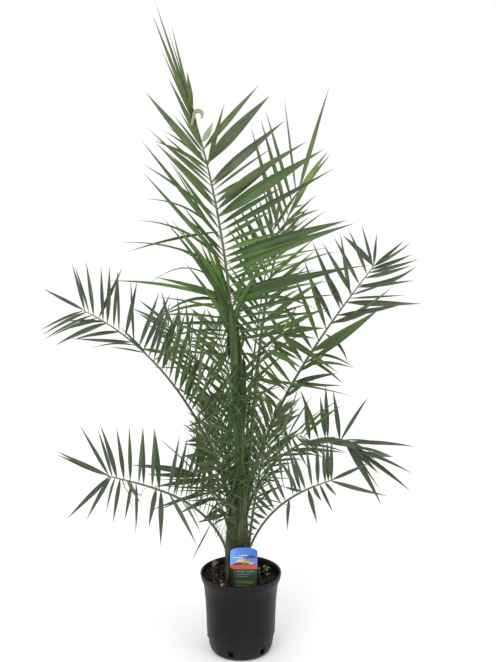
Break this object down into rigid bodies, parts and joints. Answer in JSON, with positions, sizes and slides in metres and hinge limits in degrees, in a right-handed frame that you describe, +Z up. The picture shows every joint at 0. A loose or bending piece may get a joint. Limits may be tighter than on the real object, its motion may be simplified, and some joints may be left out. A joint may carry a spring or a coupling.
{
  "type": "potted date palm",
  "caption": "Young date palm in a flared round nursery pot with a plant label: fibrous stem, a column of upright stalks and arching feather fronds.",
  "frame": {"origin": "centre of the pot's flat underside, on the surface it stands on", "axes": "+Z up along the pot's axis; +Y to the back, with -Y the side the label faces; +X to the right seen from the label's side"},
  "size_m": [0.9037, 1.0404, 1.5669],
  "materials": {
    "pot_plastic": "semi-matt moulded",
    "potting_mix": "damp bark and peat",
    "label_plastic": "printed sheet",
    "stem_fibre": "coarse fibre",
    "leaf_stalk": "waxy",
    "leaflets": "waxy"
  },
  "bodies": {
    "root": {"pot": "pot_plastic", "potting_mix": "potting_mix", "plant_label": "label_plastic", "stem": "stem_fibre", "stalk_column": "leaf_stalk", "frond_01_stalk": "leaf_stalk", "frond_02_stalk": "leaf_stalk", "frond_03_stalk": "leaf_stalk", "frond_04_stalk": "leaf_stalk", "frond_05_stalk": "leaf_stalk", "frond_06_stalk": "leaf_stalk", "frond_07_stalk": "leaf_stalk", "frond_08_stalk": "leaf_stalk", "frond_09_stalk": "leaf_stalk", "frond_10_stalk": "leaf_stalk", "frond_11_stalk": "leaf_stalk", "frond_12_stalk": "leaf_stalk", "frond_13_stalk": "leaf_stalk", "frond_14_stalk": "leaf_stalk", "frond_15_stalk": "leaf_stalk", "frond_16_stalk": "leaf_stalk", "frond_17_stalk": "leaf_stalk", "frond_18_stalk": "leaf_stalk", "frond_01_blade_a": "leaflets", "frond_01_blade_b": "leaflets", "frond_07_blade_a": "leaflets", "frond_07_blade_b": "leaflets", "frond_02_blade": "leaflets", "frond_03_blade": "leaflets", "frond_04_blade": "leaflets", "frond_05_blade": "leaflets", "frond_06_blade": "leaflets", "frond_08_blade": "leaflets", "frond_09_blade": "leaflets", "frond_10_blade": "leaflets", "frond_11_blade": "leaflets", "frond_12_blade": "leaflets", "frond_13_blade": "leaflets", "frond_14_blade": "leaflets", "frond_15_blade": "leaflets", "frond_16_blade": "leaflets", "frond_17_blade": "leaflets", "frond_18_blade": "leaflets"}
  },
  "joints": []
}
